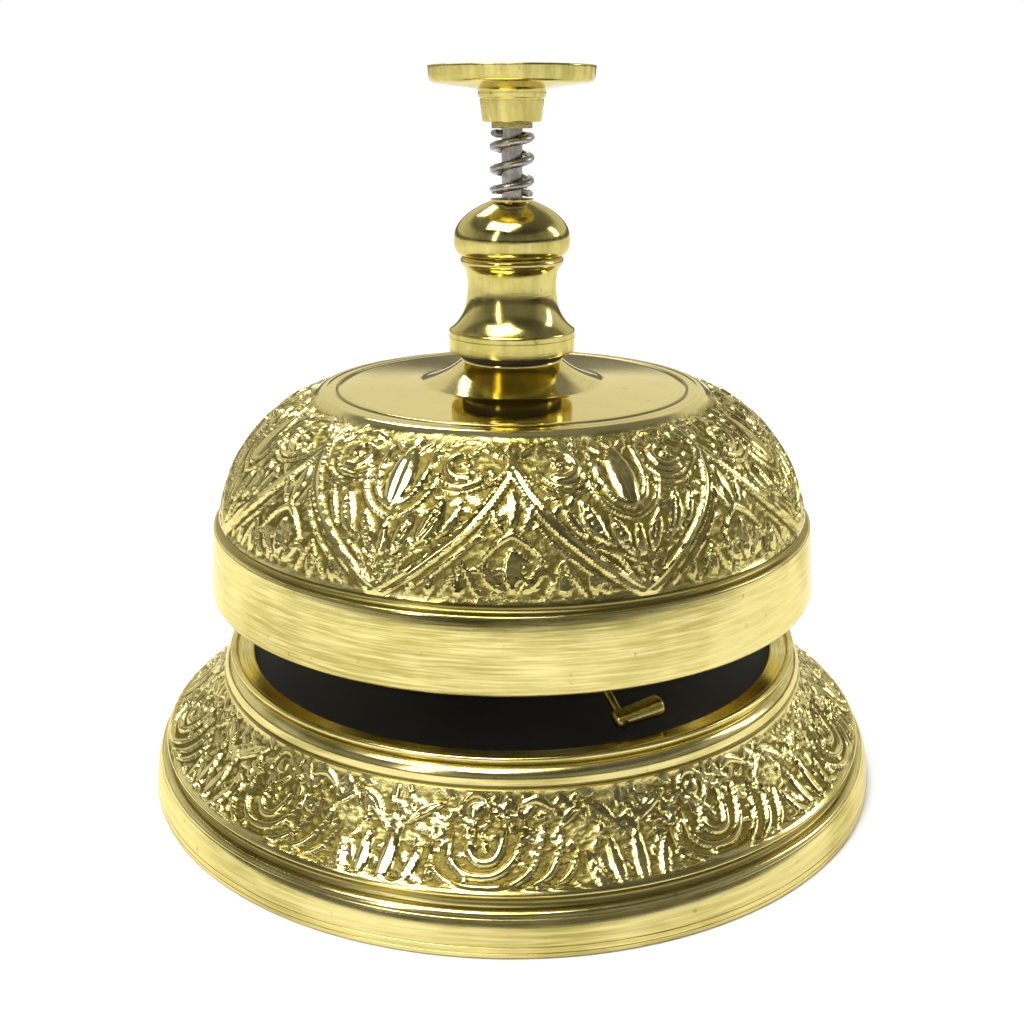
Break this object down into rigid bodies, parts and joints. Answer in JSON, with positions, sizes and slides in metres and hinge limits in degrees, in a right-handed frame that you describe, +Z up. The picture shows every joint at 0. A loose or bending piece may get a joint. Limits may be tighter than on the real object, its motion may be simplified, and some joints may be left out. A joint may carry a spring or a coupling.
{
  "type": "counter call bell",
  "caption": "Ornate cast brass counter bell: a domed cup on a flared base, rung by pressing a sprung knob that swings a hammer against the inside of the cup.",
  "frame": {"origin": "centre of the base's underside, on the surface the bell stands on", "axes": "+Z up along the plunger; -Y is the front; the hammer points to the front right, 22.5 degrees from -Y towards +X"},
  "size_m": [0.09, 0.09, 0.0835],
  "materials": {
    "cast_brass": "polished high points over a darker embossed ground",
    "turned_brass": "polished, fine turning lines",
    "black_plate": "satin black paint",
    "zinc_steel": "zinc plated",
    "spring_steel": "dark oiled",
    "washer_black": "matte fibre"
  },
  "bodies": {
    "stand": {"base": "cast_brass", "base_plate": "black_plate", "plate_screws": "zinc_steel", "bridge": "zinc_steel", "bridge_screws": "zinc_steel", "bridge_nuts": "zinc_steel", "post": "turned_brass", "post_nut": "zinc_steel", "cup_nut": "zinc_steel", "lower_washer": "zinc_steel", "bell_cup": "cast_brass", "upper_washer": "washer_black", "finial": "turned_brass", "pivot_pin": "zinc_steel", "pin_clip": "spring_steel"},
    "plunger": {"knob": "turned_brass", "plunger_rod": "spring_steel", "rod_clip": "spring_steel", "spring_washer": "turned_brass", "plunger_spring": "spring_steel"},
    "hammer": {"hammer_lever": "zinc_steel", "hammer_arm": "turned_brass", "hammer_head": "turned_brass"}
  },
  "joints": [
    {"name": "plunger_press", "type": "slide", "parent": "stand", "child": "plunger", "axis": [0, 0, -1], "range_m": [0, 0.004], "stiffness_N_per_m": 300, "springref_m": -0.005, "deforming": ["plunger_spring"]},
    {"name": "hammer_swing", "type": "hinge", "parent": "stand", "child": "hammer", "pos_m": [0.00402, -0.0097, 0.0255], "axis": [-0.9239, -0.3827, 0], "range_deg": [0, 20.1]}
  ],
  "couplings": [
    {"joint": "hammer_swing", "follows": "plunger_press", "rad_per_m": 87.266}
  ]
}
